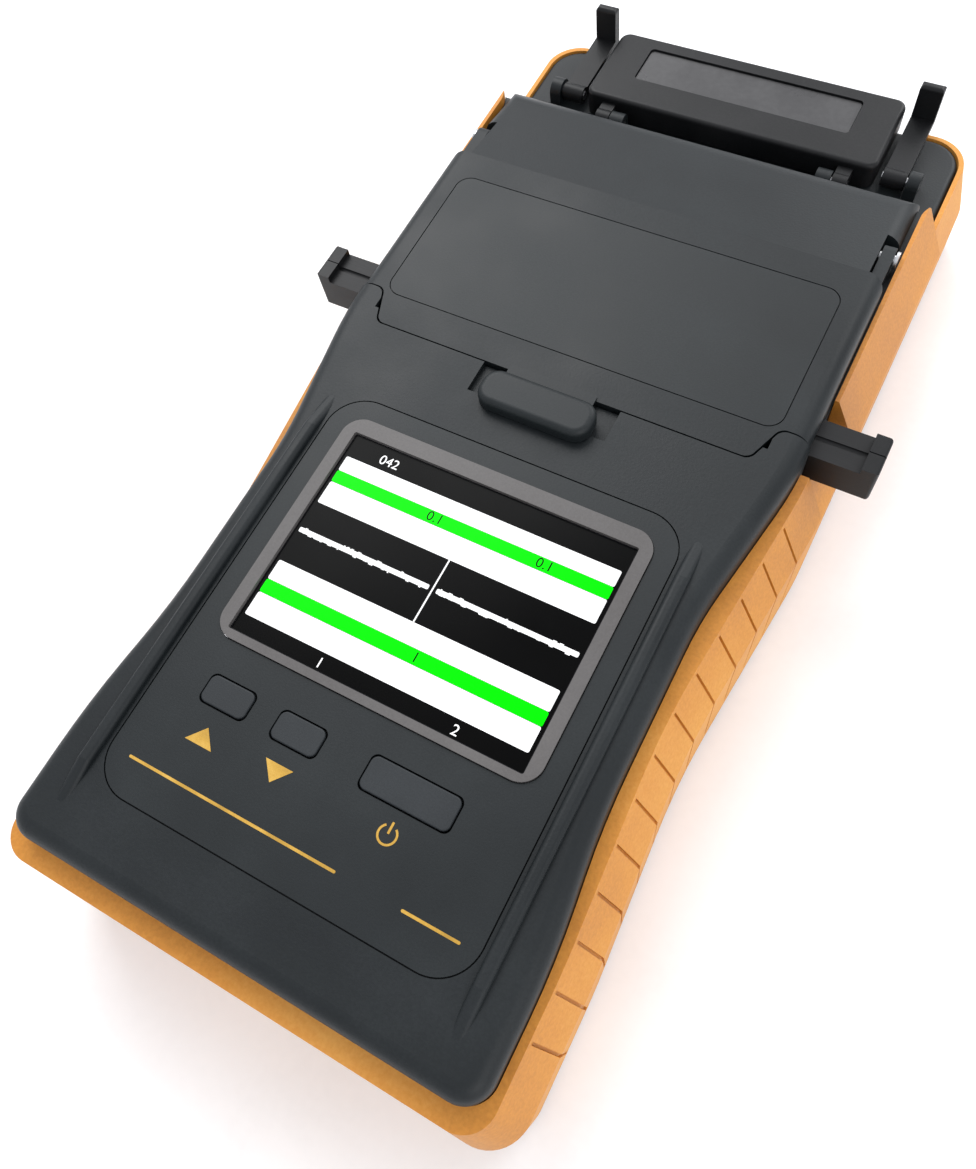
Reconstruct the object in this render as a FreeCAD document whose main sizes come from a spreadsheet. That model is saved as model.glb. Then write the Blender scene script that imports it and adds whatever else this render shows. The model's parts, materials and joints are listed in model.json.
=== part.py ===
"""Fibre fusion splicer: a hand-held case in a rubber bumper, with a screen, a wind cover and a tube heater.

Millimetres. X to the right, Y from the user to the back, Z up.
Origin: centre of the footprint, on the surface that the feet stand on.
"""
import FreeCAD, Part
import math
import os
import re
import Sketcher
from FreeCAD import Placement, Rotation, Vector

SIZES = {
    # heights of the case
    "foot_height": 2.0,
    "case_split": 24.0,
    "case_top": 52.0,
    "bay_deck": 43.0,
    "rear_top": 30.0,
    "cowl_front_top": 51.0,
    "cowl_back_top": 46.0,
    "floor_thick": 3.0,
    "wall": 2.5,
    "top_edge_round": 4.0,
    # plan of the hard case: half widths and the places along Y where they change
    "case_front": -130.7,
    "case_back": 134.0,
    "front_half": 54.9,
    "waist_half": 51.8,
    "bay_half": 57.7,
    "rear_half": 60.5,
    "waist_start": -102.0,
    "waist_front": -75.0,
    "waist_back": -29.0,
    "bay_front": 8.0,
    "bay_back": 92.0,
    "rear_front": 98.0,
    "front_corner": 6.0,
    "rear_corner": 9.0,
    "step_round": 6.5,
    # bumper
    "bumper_front": -137.5,
    "bumper_back": 137.5,
    "bumper_front_half": 62.3,
    "bumper_waist_half": 59.7,
    "bumper_rear_half": 65.3,
    "bumper_front_corner": 9.0,
    "bumper_rear_corner": 12.0,
    "bumper_top": 44.0,
    "bumper_block_top": 45.5,
    "bumper_notch_top": 35.0,
    "bumper_taper_wide": 5.5,
    "bumper_taper_block": 6.4,
    "bumper_taper_front": 2.2,
    "bumper_taper_rear": 3.4,
    "bumper_taper_high": 14.0,
    "bumper_gap": 0.2,
    "notch_front": 12.5,
    "notch_back": 32.5,
    "block_back": 95.0,
    "groove_wide": 0.7,
    "groove_deep": 0.6,
    "groove_pitch": 9.6,
    "groove_first": -116.0,
    "groove_count": 13,
    "port_window_half": 44.0,
    "port_window_bottom": 7.0,
    # front panel, screen and keys
    "panel_wide": 86.0,
    "panel_deep": 101.6,
    "panel_corner": 9.0,
    "panel_thick": 1.2,
    "panel_centre": -64.2,
    "panel_gap": 0.3,
    "bezel_wide": 76.4,
    "bezel_deep": 58.7,
    "bezel_corner": 5.0,
    "bezel_thick": 1.7,
    "bezel_centre": -47.7,
    "screen_wide": 70.1,
    "screen_deep": 52.6,
    "screen_centre": -48.7,
    "glass_thick": 0.8,
    "module_wide": 74.0,
    "module_deep": 56.4,
    "module_thick": 3.6,
    "key_row": -87.9,
    "key_deep": 6.1,
    "up_key_wide": 11.0,
    "up_key_centre": -26.4,
    "down_key_wide": 10.8,
    "down_key_centre": -8.9,
    "power_key_wide": 20.2,
    "power_key_deep": 7.1,
    "power_key_centre": 17.3,
    "key_corner": 1.6,
    "key_gap": 0.35,
    "key_flange": 1.2,
    "key_flange_thick": 0.8,
    "key_flange_bottom": 48.3,
    "key_stands": 0.4,
    "switch_radius": 1.7,
    "switch_top": 47.4,
    "ridge_centre": 45.7,
    "ridge_wide": 3.2,
    "ridge_high": 1.7,
    "ridge_front": -124.0,
    "ridge_back": -13.0,
    "ridge_ramp": 12.0,
    # wind cover and its hinge
    "seam_front": 6.8,
    "seam_step": 16.3,
    "seam_half": 47.3,
    "seam_step_half": 50.8,
    "cover_gap": 0.35,
    "cover_bottom": 44.3,
    "cover_skin": 2.2,
    "cover_pivot_y": 75.0,
    "cover_pivot_z": 46.0,
    "cover_back_radius": 12.5,
    "cowl_front_radius": 12.0,
    "arm_inner": 53.4,
    "arm_thick": 3.0,
    "arm_start": 58.0,
    "arm_round": 2.7,
    "pin_radius": 1.2,
    "pin_clearance": 0.05,
    "inlay_half": 50.3,
    "inlay_front": 15.8,
    "inlay_back": 56.5,
    "inlay_corner": 4.0,
    "inlay_thick": 0.8,
    "tab_wide": 28.0,
    "tab_deep": 9.6,
    "tab_corner": 4.0,
    "tab_thick": 3.4,
    "tab_centre": -0.2,
    "tab_bottom": 52.4,
    "tab_notch_half": 17.3,
    "tab_notch_front": -1.6,
    "tab_notch_floor": 50.4,
    # splice bay
    "tray_half": 49.6,
    "tray_front": 10.9,
    "tray_back": 58.1,
    "tray_bottom": 34.0,
    "tray_wall": 2.0,
    "fibre_y": 22.0,
    "fibre_z": 45.3,
    "stage_wide": 10.0,
    "stage_bottom": 36.3,
    "stage_inner": 12.0,
    "stage_outer": 69.1,
    "guide_cap_outer": 72.9,
    "guide_cap_top": 47.0,
    "stage_gap": 0.6,
    "clamp_inner": 28.0,
    "clamp_outer": 42.0,
    "clamp_front": 15.6,
    "clamp_thick": 2.2,
    "clamp_pivot_y": 30.5,
    "clamp_pivot_z": 46.2,
    "clamp_round": 1.9,
    "clamp_pin_radius": 0.8,
    "ear_thick": 3.4,
    "ear_gap": 0.4,
    "block_half": 6.5,
    "block_deep": 6.0,
    "electrode_radius": 1.0,
    "electrode_gap": 1.6,
    "electrode_reach": 9.5,
    "lens_radius": 3.4,
    # heater
    "lid_half": 42.0,
    "lid_front": 110.4,
    "lid_back": 136.9,
    "lid_bottom": 30.5,
    "lid_top": 37.5,
    "lid_pivot_y": 106.6,
    "lid_pivot_z": 33.4,
    "lid_round": 2.4,
    "lid_ear_inner": 28.0,
    "lid_ear_thick": 4.0,
    "window_wide": 62.0,
    "window_deep": 12.4,
    "window_centre": 126.2,
    "window_thick": 1.2,
    "channel_half": 35.0,
    "channel_front": 115.2,
    "channel_back": 130.8,
    "channel_bottom": 21.5,
    "channel_wall": 1.2,
    "finger_arm_inner": 43.8,
    "finger_arm_outer": 50.0,
    "finger_pivot_y": 113.5,
    "finger_pivot_z": 33.0,
    "finger_round": 2.3,
    "finger_back": 137.2,
    "finger_top": 44.3,
    "finger_thick": 2.6,
    # parts inside and underneath
    "board_thick": 1.6,
    "foot_radius": 7.0,
    "screw_head_radius": 2.6,
    "screw_head_thick": 1.6,
    "screw_shank_radius": 1.3,
    "screw_shank_long": 7.0,
    "boss_radius": 4.0,
    "boss_top": 13.0,
    "door_half": 36.0,
    "door_front": 40.0,
    "door_back": 110.0,
    "port_half": 32.0,
    "port_bottom": 8.5,
    "port_top": 20.5,
    "jack_x": -18.0,
    "jack_radius": 3.3,
    "usb_x": 8.0,
    "usb_wide": 13.0,
    "usb_high": 5.6,
    "port_z": 14.5,
}

SIDES = {"left": -1, "right": 1}
GENTLE_BEND = 190.0
FEET = {
    "front_left": (-42, -118),
    "front_right": (42, -118),
    "rear_left": (-48, 122),
    "rear_right": (48, 122),
}
RIGHT_SCREWS = [(45, -96), (45, 8), (52, 104)]
CASE_SCREWS = [(side * across, along) for side in (-1, 1) for across, along in RIGHT_SCREWS]
DOOR_SCREWS = [(-29, 46), (29, 46)]

doc = FreeCAD.newDocument("splicer")
sheet = doc.addObject("Spreadsheet::Sheet", "Sizes")
nodes = {}


def fill_sheet():
    """Write every driving size to the sheet, one row each, with its alias."""
    for row, (alias, number) in enumerate(SIZES.items(), start=1):
        sheet.set(f"A{row}", alias)
        sheet.set(f"B{row}", str(number))
        sheet.setAlias(f"B{row}", alias)
    doc.recompute()


def size(alias):
    """A driving size as the sheet holds it."""
    return float(sheet.get(alias))


def bound(terms):
    """Turn 'wall * 2 + 1' into the expression 'Sizes.wall * 2 + 1'."""
    return re.sub(r"[a-z]\w*", r"Sizes.\g<0>", str(terms))


def bind(thing, **properties):
    """Bind properties of an object to sums of sheet aliases."""
    for name, terms in properties.items():
        thing.setExpression(name, bound(terms))


def place(thing, across="0", along="0", up="0"):
    """Bind an object's position to sums of sheet aliases."""
    for axis, terms in (("x", across), ("y", along), ("z", up)):
        thing.setExpression(f"Placement.Base.{axis}", bound(terms))


def block(name, start, extent):
    """A box bound to the sheet: lowest corner and lengths, each as three sums of aliases."""
    thing = doc.addObject("Part::Box", name)
    bind(thing, Length=extent[0], Width=extent[1], Height=extent[2])
    place(thing, *start)
    return thing


def rod(name, radius, length, start, direction):
    """A cylinder bound to the sheet, pointing along direction."""
    thing = doc.addObject("Part::Cylinder", name)
    thing.Placement = Placement(Vector(), Rotation(Vector(0, 0, 1), Vector(*direction)))
    bind(thing, Radius=radius, Height=length)
    place(thing, *start)
    return thing


def joined(name, pieces):
    """Fuse several objects into one."""
    thing = doc.addObject("Part::MultiFuse", name)
    thing.Shapes = pieces
    return thing


def cut(name, base, tools):
    """Take tools away from base."""
    tool = tools[0] if len(tools) == 1 else joined(f"{name}_tools", tools)
    thing = doc.addObject("Part::Cut", name)
    thing.Base = base
    thing.Tool = tool
    return thing


def keep(label, thing):
    """Name an object as a sub-part of the splicer."""
    thing.Label = label
    nodes[label] = thing
    return thing


def shaped(label, shape):
    """A sub-part whose form comes from Part's own functions."""
    thing = doc.addObject("Part::Feature", f"{label}_shape")
    thing.Shape = shape.removeSplitter()
    return keep(label, thing)


# ---- sketched plates -------------------------------------------------------------------------

def plane(body, role):
    """One of the body's own origin planes."""
    return next(item for item in body.Origin.OriginFeatures if item.Role == role)


def rounded_rectangle(sketch, wide, deep, corner, across="0", along="0"):
    """Four lines and four tangent arcs, held by constraints bound to the sheet."""
    w, d, r = 10.0, 8.0, 1.0
    corners = [(w - r, d - r, 0), (r - w, d - r, 90), (r - w, r - d, 180), (w - r, r - d, 270)]
    ends = []
    for x, y, turn in corners:
        first, last = math.radians(turn), math.radians(turn + 90)
        sketch.addGeometry(Part.ArcOfCircle(Part.Circle(Vector(x, y, 0), Vector(0, 0, 1), r), first, last))
        ends.append([Vector(x + r * math.cos(a), y + r * math.sin(a), 0) for a in (first, last)])
    for index in range(4):
        sketch.addGeometry(Part.LineSegment(ends[index][1], ends[(index + 1) % 4][0]))
    for index in range(4):
        sketch.addConstraint(Sketcher.Constraint("Tangent", index, 2, index + 4, 1))
        sketch.addConstraint(Sketcher.Constraint("Tangent", index + 4, 2, (index + 1) % 4, 1))
        sketch.addConstraint(Sketcher.Constraint("Vertical" if index % 2 else "Horizontal", index + 4))
    for index in (1, 2, 3):
        sketch.addConstraint(Sketcher.Constraint("Equal", 0, index))
    top, left, bottom, right = 4, 5, 6, 7
    driven = [
        (("Radius", 0, 1.0), corner),
        (("DistanceX", left, 1, right, 1, 2 * w), wide),
        (("DistanceY", bottom, 1, top, 1, 2 * d), deep),
        (("DistanceX", -1, 1, right, 1, w), f"({wide}) / 2 + {across}"),
        (("DistanceY", -1, 1, top, 1, d), f"({deep}) / 2 + {along}"),
    ]
    for arguments, terms in driven:
        index = sketch.addConstraint(Sketcher.Constraint(*arguments))
        sketch.setExpression(f"Constraints[{index}]", bound(terms))


def new_sketch(body, name, lift="0"):
    """An empty sketch on the body's own XY plane, raised by lift."""
    sketch = body.newObject("Sketcher::SketchObject", name)
    sketch.AttachmentSupport = [(plane(body, "XY_Plane"), "")]
    sketch.MapMode = "FlatFace"
    sketch.setExpression("AttachmentOffset.Base.z", bound(lift))
    return sketch


def plate(label, wide, deep, corner, thick, centre, bottom):
    """A rounded plate as a body of one sketch and one pad; centre is its place in plan."""
    body = doc.addObject("PartDesign::Body", f"{label}_body")
    sketch = new_sketch(body, f"{label}_outline")
    rounded_rectangle(sketch, wide, deep, corner)
    pad = body.newObject("PartDesign::Pad", f"{label}_pad")
    pad.Profile = sketch
    bind(pad, Length=thick)
    place(body, centre[0], centre[1], bottom)
    return keep(label, body)


def add_pad(body, name, wide, deep, corner, thick, lift):
    """Add a second rounded step on top of a plate."""
    sketch = new_sketch(body, f"{name}_outline", lift)
    rounded_rectangle(sketch, wide, deep, corner)
    pad = body.newObject("PartDesign::Pad", name)
    pad.Profile = sketch
    bind(pad, Length=thick)


def window(body, name, wide, deep, corner, across="0", along="0", lift=None):
    """Cut a rounded opening; it goes right through unless lift gives the level where it stops."""
    sketch = new_sketch(body, f"{name}_outline", lift or "0")
    rounded_rectangle(sketch, wide, deep, corner, across, along)
    pocket = body.newObject("PartDesign::Pocket", name)
    pocket.Profile = sketch
    pocket.Type = 1
    pocket.Midplane = lift is None
    pocket.Reversed = lift is not None


def round_top(body, name, radius):
    """Round the edges of the body's highest face."""
    doc.recompute()
    tip = body.Tip
    top = tip.Shape.BoundBox.ZMax
    edges = [f"Edge{number}" for number, edge in enumerate(tip.Shape.Edges, start=1)
             if edge.BoundBox.ZMin > top - 1e-4]
    fillet = body.newObject("PartDesign::Fillet", name)
    fillet.Base = (tip, edges)
    fillet.Radius = radius


# ---- outlines and prisms of the case ------------------------------------------------------------

def rounded_wire(corners):
    """Closed outline of straight runs; each corner is (x, y, radius) and turns on a tangent arc."""
    arcs = []
    for index, (x, y, radius) in enumerate(corners):
        here = Vector(x, y, 0)
        before = (Vector(*corners[index - 1][:2], 0) - here).normalize()
        after = (Vector(*corners[(index + 1) % len(corners)][:2], 0) - here).normalize()
        half = before.getAngle(after) / 2
        reach = radius / math.tan(half)
        middle = here + (before + after).normalize() * (radius / math.sin(half) - radius)
        arcs.append((here + before * reach, middle, here + after * reach))
    edges = []
    for index, (start, middle, end) in enumerate(arcs):
        edges.append(Part.Arc(start, middle, end).toShape())
        edges.append(Part.LineSegment(end, arcs[(index + 1) % len(arcs)][0]).toShape())
    return Part.Wire(edges)


def mirrored_wire(right_side):
    """Outline that is the same on both sides, from its right-hand corners, front to back."""
    left_side = [(-x, y, radius) for x, y, radius in reversed(right_side)]
    return rounded_wire(right_side + left_side)


def case_face(grow=0.0):
    """Plan of the hard case, grown outwards or (when negative) shrunk."""
    front, back = size("case_front") - grow, size("case_back") + grow
    front_half, waist = size("front_half") + grow, size("waist_half") + grow
    bay_half, rear_half = size("bay_half") + grow, size("rear_half") + grow
    return Part.Face(mirrored_wire([
        (front_half, front, size("front_corner") + grow),
        (front_half, size("waist_start"), GENTLE_BEND),
        (waist, size("waist_front"), GENTLE_BEND),
        (waist, size("waist_back"), GENTLE_BEND / 2),
        (bay_half, size("bay_front"), GENTLE_BEND / 2),
        (bay_half, size("bay_back"), size("step_round")),
        (rear_half, size("rear_front"), size("step_round")),
        (rear_half, back, size("rear_corner") + grow),
    ]))


def bumper_face(grow=0.0, grow_front=0.0):
    """Plan of the bumper's outer side; grow moves its long sides outwards, grow_front its two ends."""
    front_half, rear_half = size("bumper_front_half") + grow, size("bumper_rear_half") + grow
    waist_y = (size("waist_front") + size("waist_back")) / 2
    return Part.Face(mirrored_wire([
        (front_half, size("bumper_front") - grow_front, size("bumper_front_corner") + grow_front),
        (front_half, size("waist_start"), GENTLE_BEND),
        (size("bumper_waist_half") + grow, waist_y, GENTLE_BEND),
        (rear_half, size("bay_front"), GENTLE_BEND / 2),
        (rear_half, size("bumper_back") + grow_front, size("bumper_rear_corner") + grow_front),
    ]))


def prism(face, bottom, top, edge_round=0.0):
    """Extrude a plan face between two heights and round its upper edge."""
    solid = face.translated(Vector(0, 0, bottom)).extrude(Vector(0, 0, top - bottom))
    if edge_round:
        rim = [edge for edge in solid.Edges if edge.BoundBox.ZMin > top - 1e-4]
        solid = solid.makeFillet(edge_round, rim)
    return solid


def box(x_low, x_high, y_low, y_high, z_low, z_high):
    """A plain box between limits."""
    return Part.makeBox(x_high - x_low, y_high - y_low, z_high - z_low, Vector(x_low, y_low, z_low))


def both_sides(x_low, x_high, *limits):
    """A pair of boxes, one on each side."""
    return box(x_low, x_high, *limits).fuse(box(-x_high, -x_low, *limits))


def bar_along_x(radius, x_low, x_high, y, z):
    """A round bar along X."""
    return Part.makeCylinder(radius, x_high - x_low, Vector(x_low, y, z), Vector(1, 0, 0))


def upright(radius, x, y, z_low, z_high):
    """A round bar standing up."""
    return Part.makeCylinder(radius, z_high - z_low, Vector(x, y, z_low))


def rounded_box(wide, deep, corner, x, y, z_low, z_high):
    """An upright prism of a rounded rectangle centred at x, y."""
    across, along = wide / 2, deep / 2
    wire = rounded_wire([(x + across, y - along, corner), (x + across, y + along, corner),
                         (x - across, y + along, corner), (x - across, y - along, corner)])
    return prism(Part.Face(wire), z_low, z_high)


FAR = 90.0


# ---- case ---------------------------------------------------------------------------------------

def bumper_block(bottom, top, sides, ends):
    """Solid of the bumper's outer form: upright below, drawn in at the sides and ends near the top."""
    shoulder = top - size("bumper_taper_high")
    lower = prism(bumper_face(), bottom, shoulder)
    wide = bumper_face().translated(Vector(0, 0, shoulder)).OuterWire
    narrow = bumper_face(-sides, -ends).translated(Vector(0, 0, top)).OuterWire
    return lower.fuse(Part.makeLoft([wide, narrow], True, True))


def make_bumper():
    """Rubber ring: four heights along its length, sides drawn in at the top, thin upright grooves."""
    bottom = size("foot_height")
    sides, ends = size("bumper_taper_wide"), size("bumper_taper_front")
    zones = [
        (-2 * FAR, size("notch_front"), size("bumper_top"), sides),
        (size("notch_front"), size("notch_back"), size("bumper_notch_top"), sides),
        (size("notch_back"), size("block_back"), size("bumper_block_top"), size("bumper_taper_block")),
        (size("block_back"), 2 * FAR, size("rear_top"), size("bumper_taper_rear")),
    ]
    ring = None
    for start, end, top, taper in zones:
        part = bumper_block(bottom, top, taper, ends).common(box(-FAR, FAR, start, end, 0, FAR))
        ring = part if ring is None else ring.fuse(part)
    ring = ring.cut(prism(case_face(size("bumper_gap")), -1, FAR))
    half = size("port_window_half")
    ring = ring.cut(box(-half, half, size("case_back") - 2, 2 * FAR, size("port_window_bottom"), FAR))
    deep = size("groove_deep")
    core = prism(bumper_face(-deep), 0, size("bumper_top") - size("bumper_taper_high") - deep)
    core = core.fuse(Part.makeLoft([
        bumper_face(-deep).translated(Vector(0, 0, core.BoundBox.ZMax)).OuterWire,
        bumper_face(-sides - deep).translated(Vector(0, 0, size("bumper_top") - deep)).OuterWire,
    ], True, True))
    for index in range(int(size("groove_count"))):
        y = size("groove_first") + index * size("groove_pitch")
        slab = box(-FAR, FAR, y - size("groove_wide") / 2, y + size("groove_wide") / 2,
                   bottom + 4, size("bumper_top") - 1)
        ring = ring.cut(slab.cut(core))
    shaped("bumper", ring)


def make_lower_case():
    """Tray of the case: floor, walls, screw bosses, battery opening and the window for the ports."""
    bottom = size("foot_height")
    floor = bottom + size("floor_thick")
    split = size("case_split")
    case = prism(case_face(), bottom, split)
    case = case.cut(prism(case_face(-size("wall")), floor, split + 1))
    for x, y in CASE_SCREWS:
        case = case.fuse(upright(size("boss_radius"), x, y, floor, size("boss_top")))
        case = case.cut(upright(size("screw_head_radius") + 0.3, x, y, 0, bottom + 2))
        case = case.cut(upright(size("screw_shank_radius") + 0.1, x, y, 0, size("boss_top") + 1))
    door = size("door_half") + size("panel_gap")
    case = case.cut(box(-door, door, size("door_front") - 0.3, size("door_back") + 0.3, 0, floor + 1))
    case = case.cut(box(-size("port_half"), size("port_half"), size("case_back") - 5, FAR * 2,
                        size("port_bottom"), size("port_top")))
    shaped("lower_case", case)


def cover_region(inset):
    """Plan of the part of the case that the wind cover and cowl take up, with its stepped front seam."""
    seam = size("seam_half") - inset
    step = size("seam_step_half") - inset
    wire = mirrored_wire([
        (seam, size("seam_front") + inset, 2.5),
        (step, size("seam_step") + inset, 2.5),
        (FAR, size("seam_step") + inset, 1.0),
        (FAR, size("rear_front") + 60, 1.0),
    ])
    return Part.Face(wire)


def ridge():
    """One long rib beside the front panel: a bar with ramped ends and rounded flanks."""
    low, high = size("case_top") - 0.5, size("case_top") + size("ridge_high")
    front, back, ramp = size("ridge_front"), size("ridge_back"), size("ridge_ramp")
    left = size("ridge_centre") - size("ridge_wide") / 2
    profile = Part.makePolygon([Vector(left, y, z) for y, z in (
        (front, low), (front + ramp, high), (back - ramp, high), (back, low), (front, low))])
    bar = Part.Face(profile).extrude(Vector(size("ridge_wide"), 0, 0))
    flanks = [edge for edge in bar.Edges if edge.BoundBox.ZMax > high - 1e-4 and edge.Length > ramp]
    return bar.makeFillet(1.2, flanks)


def make_top_shell():
    """Upper shell: the user's face in front, and the lower deck that carries the splice bay."""
    split, top, deck = size("case_split"), size("case_top"), size("bay_deck")
    wall = size("wall")
    shell = prism(case_face(), split, top, size("top_edge_round"))
    shell = shell.cut(prism(cover_region(0), deck, FAR))
    shell = shell.cut(box(-FAR, FAR, size("block_back") - 0.5, 2 * FAR, 0, FAR))
    inner = case_face(-wall)
    front_limit = size("seam_front") - wall
    shell = shell.cut(prism(inner, split - 1, top - wall).common(
        box(-FAR, FAR, -2 * FAR, front_limit, 0, FAR)))
    shell = shell.cut(prism(inner, split - 1, deck - wall).common(
        box(-FAR, FAR, front_limit, size("block_back") - 0.5 - wall, 0, FAR)))
    gap = size("panel_gap")
    shell = shell.cut(rounded_box(size("panel_wide") + 2 * gap, size("panel_deep") + 2 * gap,
                                  size("panel_corner") + gap, 0, size("panel_centre"),
                                  top - size("panel_thick"), FAR))
    shell = shell.cut(rounded_box(size("module_wide") + 1, size("module_deep") + 1, 1, 0,
                                  size("screen_centre"), top - 6, FAR))
    for name in ("up", "down", "power"):
        wide, deep, x = key_sizes(name)
        shell = shell.cut(rounded_box(size(wide) + 2 * size("key_gap"), size(deep) + 2 * size("key_gap"),
                                      size("key_corner"), size(x), size("key_row"), top - 6, FAR))
    half = size("tab_notch_half")
    shell = shell.cut(box(-half, half, size("tab_notch_front"), size("seam_front") + 1,
                          size("tab_notch_floor"), FAR))
    rib = ridge()
    shell = shell.fuse([rib, rib.mirror(Vector(), Vector(1, 0, 0))])
    tray = size("tray_half") + 0.2
    shell = shell.cut(box(-tray, tray, size("tray_front") - 0.2, size("tray_back") + 0.2,
                          size("tray_bottom") - 1, FAR))
    slot = size("stage_wide") / 2 + size("stage_gap")
    shell = shell.cut(both_sides(size("tray_half") - 4, FAR, size("fibre_y") - slot, size("fibre_y") + slot,
                                 size("stage_bottom") - 0.3, deck + 1))
    shaped("top_shell", shell)


def make_rear_cowl():
    """Cowl behind the cover: round front about the cover's hinge, sloping top and a back wall."""
    low = size("bay_deck")
    front_top, back_top = size("cowl_front_top"), size("cowl_back_top")
    front = size("cover_pivot_y") - size("cowl_front_radius") - 1
    back = size("rear_front") - 0.7
    half = size("bay_half") - 1.1
    foot = size("rear_top")
    profile = rounded_wire([
        (front, foot, 0.2), (back, foot, 0.2), (back, back_top, 8.0), (front, front_top, 0.5)])
    profile.rotate(Vector(), Vector(1, 1, 1), 120)
    cowl = Part.Face(profile).translated(Vector(-FAR, 0, 0)).extrude(Vector(2 * FAR, 0, 0))
    fall = (front_top - back_top) / (back - front)
    early = 5.0
    start_top = front_top + early * fall
    deep = foot - 2 * early
    section = rounded_wire([(half, deep, 1), (half, start_top, 4), (-half, start_top, 4), (-half, deep, 1)])
    section.rotate(Vector(), Vector(1, 0, 0), 90)
    length = back - front + 2 * early
    body = Part.Face(section).translated(Vector(0, front - early, 0))
    body = body.extrude(Vector(0, length, -length * fall))
    cowl = cowl.common(body)
    pivot_y, pivot_z = size("cover_pivot_y"), size("cover_pivot_z")
    ahead = box(-FAR, FAR, front - 5, pivot_y, 0, FAR)
    cowl = cowl.cut(ahead.cut(bar_along_x(size("cowl_front_radius"), -FAR, FAR, pivot_y, pivot_z)))
    cowl = cowl.cut(both_sides(size("arm_inner") - 0.5, FAR, front - 1, pivot_y + 4.5, 0, FAR))
    cowl = cowl.cut(box(-FAR, FAR, 0, back - size("wall"), 0, low))
    cowl = cowl.cut(box(-half + 8, half - 8, front + 5, back - size("wall"), 0, low + 2.4))
    for side in SIDES.values():
        cowl = cowl.cut(bar_along_x(size("pin_radius"), side * 50 - 10, side * 50 + 10, pivot_y, pivot_z))
    shaped("rear_cowl", cowl)


def make_rear_deck():
    """Low deck at the back, with the trough of the heater and the ears that carry its lid and arms."""
    split, top = size("case_split"), size("rear_top")
    front = size("block_back") - 0.3
    deck = prism(case_face(), split, top, 1.5).common(box(-FAR, FAR, front, 2 * FAR, 0, FAR))
    deck = deck.cut(prism(case_face(-size("wall")), split - 1, top - size("wall")).common(
        box(-FAR, FAR, front - 1, 2 * FAR, 0, FAR)))
    half = size("channel_half") + 0.2
    deck = deck.cut(box(-half, half, size("channel_front") - 0.2, size("channel_back") + 0.2, 0, FAR))
    pivot_y, pivot_z = size("lid_pivot_y"), size("lid_pivot_z")
    for side in SIDES.values():
        inner = side * size("lid_ear_inner")
        outer = side * (size("lid_ear_inner") + size("lid_ear_thick"))
        low, high = min(inner, outer), max(inner, outer)
        deck = deck.fuse(box(low, high, pivot_y - 2.6, pivot_y + 2.6, top - 1, pivot_z))
        deck = deck.fuse(bar_along_x(2.6, low, high, pivot_y, pivot_z))
        deck = deck.cut(bar_along_x(size("pin_radius"), low - 1, high + 1, pivot_y, pivot_z))
        pin_y, pin_z = size("finger_pivot_y"), size("finger_pivot_z")
        inner = side * (size("finger_arm_outer") + 0.4)
        outer = side * (size("finger_arm_outer") + 3.6)
        low, high = min(inner, outer), max(inner, outer)
        deck = deck.fuse(box(low, high, pin_y - 3, pin_y + 3, top - 1, pin_z + 0.5))
        deck = deck.fuse(bar_along_x(3.0, low, high, pin_y, pin_z))
        deck = deck.cut(bar_along_x(size("pin_radius"), low - 1, high + 1, pin_y, pin_z))
    shaped("rear_deck", deck)


# ---- front panel, screen and keys -------------------------------------------------------------

def key_sizes(name):
    """Aliases of a key's width, depth and place."""
    deep = "power_key_deep" if name == "power" else "key_deep"
    return f"{name}_key_wide", deep, f"{name}_key_centre"


def make_front_panel():
    """Thin plate flush with the top, with openings for the bezel and the keys."""
    panel = plate("front_panel", "panel_wide", "panel_deep", "panel_corner", "panel_thick",
                  ("0", "panel_centre"), "case_top - panel_thick")
    window(panel, "bezel_opening", "bezel_wide + 0.4", "bezel_deep + 0.4", "bezel_corner + 0.2",
           "0", "bezel_centre - panel_centre")
    for name in ("up", "down", "power"):
        wide, deep, x = key_sizes(name)
        window(panel, f"{name}_opening", f"{wide} + 2 * key_gap", f"{deep} + 2 * key_gap", "key_corner",
               x, "key_row - panel_centre")


def make_screen():
    """Bezel ring, glass in its opening and the display module under them."""
    bezel = plate("screen_bezel", "bezel_wide", "bezel_deep", "bezel_corner", "bezel_thick",
                  ("0", "bezel_centre"), "case_top - panel_thick")
    window(bezel, "screen_opening", "screen_wide + 0.2", "screen_deep + 0.2", "0.5",
           "0", "screen_centre - bezel_centre")
    plate("screen_glass", "screen_wide", "screen_deep", "0.4", "glass_thick",
          ("0", "screen_centre"), "case_top - panel_thick")
    plate("display_module", "module_wide", "module_deep", "0.8", "module_thick",
          ("0", "screen_centre"), "case_top - panel_thick - module_thick")


def make_keys():
    """Three caps with a flange that stops them under the shell."""
    for name in ("up", "down", "power"):
        wide, deep, x = key_sizes(name)
        key = plate(f"{name}_key", f"{wide} + 2 * key_flange", f"{deep} + 2 * key_flange", "key_corner",
                    "key_flange_thick", (x, "key_row"), "key_flange_bottom")
        add_pad(key, f"{name}_cap", wide, deep, "key_corner",
                "case_top + key_stands - key_flange_bottom - key_flange_thick", "key_flange_thick")
        round_top(key, f"{name}_edge", 0.3)


def make_key_switches():
    """Three small switches on the keypad board, one under each key."""
    plate("keypad_board", "panel_wide - 8", "panel_deep / 5", "2", "board_thick",
          ("0", "key_row"), "switch_top - 3")
    switches = []
    for name in ("up", "down", "power"):
        switches.append(rod(f"{name}_switch", "switch_radius", "3 - board_thick",
                            (f"{name}_key_centre", "key_row", "switch_top - 3 + board_thick"), (0, 0, 1)))
    group = doc.addObject("Part::Compound", "switch_group")
    group.Links = switches
    keep("key_switches", group)


# ---- wind cover -----------------------------------------------------------------------------------

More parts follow.
